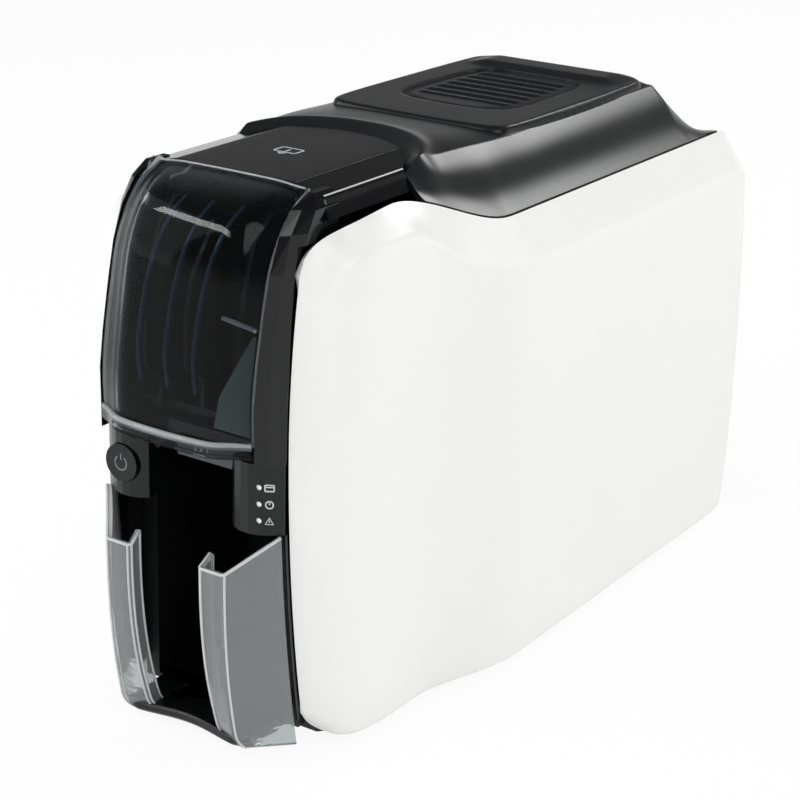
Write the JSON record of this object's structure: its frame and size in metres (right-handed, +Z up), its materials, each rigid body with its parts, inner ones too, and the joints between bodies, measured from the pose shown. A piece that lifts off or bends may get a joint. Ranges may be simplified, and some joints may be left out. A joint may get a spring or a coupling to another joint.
{
  "type": "id card printer",
  "caption": "Desktop printer for plastic cards: tall narrow body with white bowed side panels, a smoke hopper cover, an opening lid, a clear output hopper and a card transport inside.",
  "frame": {"origin": "centre of the plan box, on the table plane under the feet", "axes": "+X to the right seen from the front, +Y to the rear, +Z up"},
  "size_m": [0.157, 0.366, 0.2365],
  "materials": {
    "white_panel": "satin white moulding",
    "black_gloss": "gloss black moulding",
    "black_plastic": "fine texture",
    "lid_black": "satin dark moulding",
    "grey_plastic": "plain",
    "clear_plastic": "clear tinted moulding",
    "light_pipe": "translucent",
    "frame_metal": "plain sheet",
    "steel": "plain",
    "foot_rubber": "matt",
    "roller_rubber": "ground",
    "cleaning_blue": "tacky",
    "circuit_board": "solder mask",
    "motor_black": "black",
    "brass_pulley": "machined",
    "head_metal": "machined",
    "white_nylon": "moulded",
    "ribbon_blue": "rolled film"
  },
  "bodies": {
    "printer": {"base_tray": "black_plastic", "rubber_feet": "foot_rubber", "left_side_panel": "white_panel", "right_side_panel": "white_panel", "front_bezel": "black_gloss", "hopper_top": "black_gloss", "card_hopper": "black_plastic", "left_control_face": "black_gloss", "right_control_face": "black_gloss", "slot_block": "grey_plastic", "status_lights": "light_pipe", "output_wings": "clear_plastic", "output_bin": "black_plastic", "left_frame": "frame_metal", "right_frame": "frame_metal", "transport_deck": "frame_metal", "card_track": "grey_plastic", "roller_bridge": "frame_metal", "bay_frame": "black_plastic", "latch_keepers": "black_plastic", "rear_panel": "black_plastic", "main_board": "circuit_board", "power_inlet": "foot_rubber", "usb_port": "steel", "feed_motor": "motor_black", "ribbon_motor": "motor_black", "head_motor": "motor_black", "lid_hinge_pins": "steel", "cover_pins": "steel", "pusher_rod": "steel", "pusher_spring": "steel", "drive_belt": "roller_rubber", "ribbon_cartridge": "grey_plastic", "ribbon_film": "ribbon_blue", "frame_screws": "steel"},
    "lid": {"lid_shell": "lid_black", "lid_deck": "lid_black", "lid_frame": "black_plastic", "button_spring": "steel"},
    "button": {"release_button": "lid_black"},
    "hooks": {"latch_hooks": "steel"},
    "cover": {"smoke_cover": "clear_plastic"},
    "power": {"power_button": "black_gloss"},
    "pusher": {"card_pusher": "grey_plastic"},
    "pick": {"pick_roller": "roller_rubber"},
    "feed": {"front_drive_roller": "roller_rubber"},
    "rear_feed": {"rear_drive_roller": "roller_rubber"},
    "front_pinch": {"front_pinch_roller": "steel"},
    "rear_pinch": {"rear_pinch_roller": "steel"},
    "platen": {"platen_roller": "roller_rubber"},
    "cleaner": {"cleaning_roller": "cleaning_blue"},
    "pulley": {"motor_pulley": "brass_pulley"},
    "head": {"print_head": "head_metal"},
    "cam": {"head_cam": "white_nylon"},
    "takeup": {"takeup_spool": "ribbon_blue"},
    "supply": {"supply_spool": "ribbon_blue"},
    "pinion": {"ribbon_pinion": "white_nylon"},
    "gate": {"card_gate": "steel"}
  },
  "joints": [
    {"name": "lid_hinge", "type": "hinge", "parent": "printer", "child": "lid", "pos_m": [0, 0.159, 0.195], "axis": [-1, 0, 0], "range_deg": [0, 75]},
    {"name": "release_press", "type": "slide", "parent": "lid", "child": "button", "axis": [0, 0, -1], "range_m": [0, 0.003], "stiffness_N_per_m": 400, "springref_m": -0.002, "deforming": ["button_spring"]},
    {"name": "latch_swing", "type": "hinge", "parent": "lid", "child": "hooks", "pos_m": [0, 0.086, 0.214], "axis": [1, 0, 0], "range_deg": [0, 14.7]},
    {"name": "cover_hinge", "type": "hinge", "parent": "printer", "child": "cover", "pos_m": [0, -0.168, 0.138], "axis": [1, 0, 0], "range_deg": [0, 50]},
    {"name": "power_press", "type": "slide", "parent": "printer", "child": "power", "axis": [0, 1, 0], "range_m": [0, 0.0008], "stiffness_N_per_m": 600, "springref_m": -0.001},
    {"name": "pusher_slide", "type": "slide", "parent": "printer", "child": "pusher", "axis": [1, 0, 0], "range_m": [-0.015, 0.015], "stiffness_N_per_m": 40, "deforming": ["pusher_spring"]},
    {"name": "pick_spin", "type": "hinge", "parent": "printer", "child": "pick", "pos_m": [-0.0274, -0.12, 0.168], "axis": [0, 1, 0], "continuous": true},
    {"name": "feed_spin", "type": "hinge", "parent": "printer", "child": "feed", "pos_m": [-0.0254, -0.056, 0.16], "axis": [0, 0, 1], "continuous": true},
    {"name": "rear_feed_spin", "type": "hinge", "parent": "printer", "child": "rear_feed", "pos_m": [-0.0254, 0.066, 0.16], "axis": [0, 0, 1], "continuous": true},
    {"name": "front_pinch_spin", "type": "hinge", "parent": "printer", "child": "front_pinch", "pos_m": [-0.0135, -0.056, 0.16], "axis": [0, 0, 1], "continuous": true},
    {"name": "rear_pinch_spin", "type": "hinge", "parent": "printer", "child": "rear_pinch", "pos_m": [-0.0135, 0.066, 0.16], "axis": [0, 0, 1], "continuous": true},
    {"name": "platen_spin", "type": "hinge", "parent": "printer", "child": "platen", "pos_m": [-0.0254, 0.01, 0.16], "axis": [0, 0, 1], "continuous": true},
    {"name": "cleaner_spin", "type": "hinge", "parent": "printer", "child": "cleaner", "pos_m": [-0.0254, -0.072, 0.16], "axis": [0, 0, 1], "continuous": true},
    {"name": "pulley_spin", "type": "hinge", "parent": "printer", "child": "pulley", "pos_m": [-0.0254, 0.094, 0.16], "axis": [0, 0, 1], "continuous": true},
    {"name": "cam_turn", "type": "hinge", "parent": "printer", "child": "cam", "pos_m": [0.01, -0.004, 0.145], "axis": [0, 0, 1], "range_deg": [0, 180]},
    {"name": "head_swing", "type": "hinge", "parent": "printer", "child": "head", "pos_m": [-0.006, 0.032, 0.168], "axis": [0, 0, -1], "range_deg": [0, 3.5]},
    {"name": "takeup_spin", "type": "hinge", "parent": "printer", "child": "takeup", "pos_m": [0.02, -0.032, 0.16], "axis": [0, 0, 1], "continuous": true},
    {"name": "supply_spin", "type": "hinge", "parent": "printer", "child": "supply", "pos_m": [0.02, 0.052, 0.16], "axis": [0, 0, 1], "continuous": true},
    {"name": "pinion_spin", "type": "hinge", "parent": "printer", "child": "pinion", "pos_m": [0.02, -0.053, 0.16], "axis": [0, 0, 1], "continuous": true},
    {"name": "gate_swing", "type": "hinge", "parent": "printer", "child": "gate", "pos_m": [-0.0145, -0.002, 0.1376], "axis": [0, -1, 0], "range_deg": [0, 70]}
  ],
  "couplings": [
    {"joint": "latch_swing", "follows": "release_press", "rad_per_m": 85},
    {"joint": "rear_feed_spin", "follows": "feed_spin", "ratio": 1},
    {"joint": "front_pinch_spin", "follows": "feed_spin", "ratio": -1.2},
    {"joint": "rear_pinch_spin", "follows": "feed_spin", "ratio": -1.2},
    {"joint": "platen_spin", "follows": "feed_spin", "ratio": 1},
    {"joint": "cleaner_spin", "follows": "feed_spin", "ratio": 1},
    {"joint": "pulley_spin", "follows": "feed_spin", "ratio": 1},
    {"joint": "head_swing", "follows": "cam_turn", "ratio": 0.019444},
    {"joint": "supply_spin", "follows": "takeup_spin", "ratio": 0.6},
    {"joint": "pinion_spin", "follows": "takeup_spin", "ratio": -2}
  ]
}
